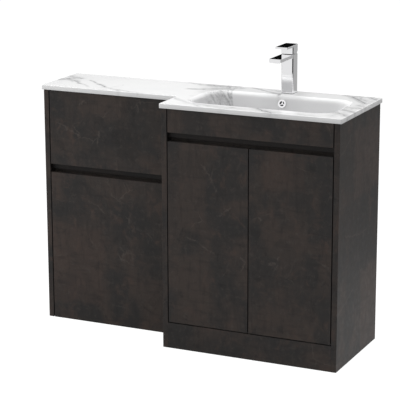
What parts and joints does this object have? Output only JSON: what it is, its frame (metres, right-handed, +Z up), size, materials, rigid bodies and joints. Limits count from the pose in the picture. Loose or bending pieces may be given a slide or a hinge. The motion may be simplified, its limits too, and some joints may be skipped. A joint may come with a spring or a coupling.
{
  "type": "vanity unit",
  "caption": "Dark stone-look vanity and WC combination cabinet with hinged doors, a pull-off panel, a marble-effect L-shaped basin top and a square lever mixer tap.",
  "frame": {"origin": "on the floor, in the middle of the unit's plan", "axes": "+X along the wall from the WC unit to the vanity, +Y to the wall, +Z up"},
  "size_m": [1.112, 0.371, 0.9662],
  "materials": {
    "laminate": "matt dark stone-look laminate on board",
    "dowel_wood": "plain beech",
    "steel": "nickel plated",
    "brass": "machined",
    "chrome": "polished chrome plate",
    "marble_cast": "gloss white cast stone with grey veins",
    "rubber": "matt black",
    "white_plastic": "moulded white",
    "grey_plastic": "moulded grey"
  },
  "bodies": {
    "carcass": {"vanity_bottom_panel": "laminate", "vanity_plinth": "laminate", "vanity_front_rail": "laminate", "vanity_finger_strip": "laminate", "vanity_fascia": "laminate", "vanity_upper_back_rail": "laminate", "vanity_lower_back_rail": "laminate", "vanity_shelf": "laminate", "wc_front_rail": "laminate", "wc_finger_strip": "laminate", "wc_upper_back_rail": "laminate", "wc_lower_back_rail": "laminate", "wc_lower_battens": "laminate", "wc_upper_battens": "laminate", "wc_lower_panel": "laminate", "vanity_side_left": "laminate", "vanity_side_right": "laminate", "wc_side_left": "laminate", "wc_side_right": "laminate", "vanity_dowels": "dowel_wood", "wc_dowels": "dowel_wood", "fascia_screws": "steel", "shelf_pins": "steel", "hinge_arms_left": "steel", "hinge_plates_left": "steel", "hinge_screws_left": "steel", "hinge_arms_right": "steel", "hinge_plates_right": "steel", "hinge_screws_right": "steel", "wc_panel_screws": "steel", "unit_joining_bolts": "steel", "tap_clamp_stud": "steel", "tap_clamp_washer": "steel", "tap_clamp_nut": "brass", "overflow_ring": "chrome", "waste_body": "chrome", "tap_body": "chrome", "tap_aerator": "chrome", "basin_top": "marble_cast", "waste_seal": "rubber", "tap_base_seal": "rubber", "waste_nut": "white_plastic", "trap_inlet_nut": "white_plastic", "trap_body": "white_plastic", "trap_cup": "white_plastic", "trap_outlet_pipe": "white_plastic", "tap_cartridge": "white_plastic", "wc_panel_clips": "grey_plastic"},
    "door_left_body": {"door_left": "laminate", "hinge_cups_left": "steel", "hinge_pins_left": "steel"},
    "door_right_body": {"door_right": "laminate", "hinge_cups_right": "steel", "hinge_pins_right": "steel"},
    "wc_panel_body": {"wc_upper_panel": "laminate", "wc_panel_studs": "grey_plastic"},
    "plug_body": {"waste_plug": "chrome"},
    "spindle_body": {"tap_spindle": "brass", "tap_lever_pin": "steel"},
    "lever_body": {"tap_lever": "chrome"}
  },
  "joints": [
    {"name": "door_left_swing", "type": "hinge", "parent": "carcass", "child": "door_left_body", "pos_m": [-0.009, -0.1695, 0.388], "axis": [0, 0, -1], "range_deg": [0, 100]},
    {"name": "door_right_swing", "type": "hinge", "parent": "carcass", "child": "door_right_body", "pos_m": [0.509, -0.1695, 0.388], "axis": [0, 0, 1], "range_deg": [0, 100]},
    {"name": "wc_panel_pull", "type": "slide", "parent": "carcass", "child": "wc_panel_body", "axis": [0, -1, 0], "range_m": [0, 0.3]},
    {"name": "tap_temperature", "type": "hinge", "parent": "carcass", "child": "spindle_body", "pos_m": [0.25, 0.1505, 0.936], "axis": [0, 0, 1], "range_deg": [-45, 45]},
    {"name": "tap_flow", "type": "hinge", "parent": "spindle_body", "child": "lever_body", "pos_m": [0.25, 0.1575, 0.9482], "axis": [-1, 0, 0], "range_deg": [0, 18]},
    {"name": "waste_plug_press", "type": "slide", "parent": "carcass", "child": "plug_body", "axis": [0, 0, 1], "range_m": [-0.008, 0], "stiffness_N_per_m": 400, "springref_m": 0.006}
  ]
}
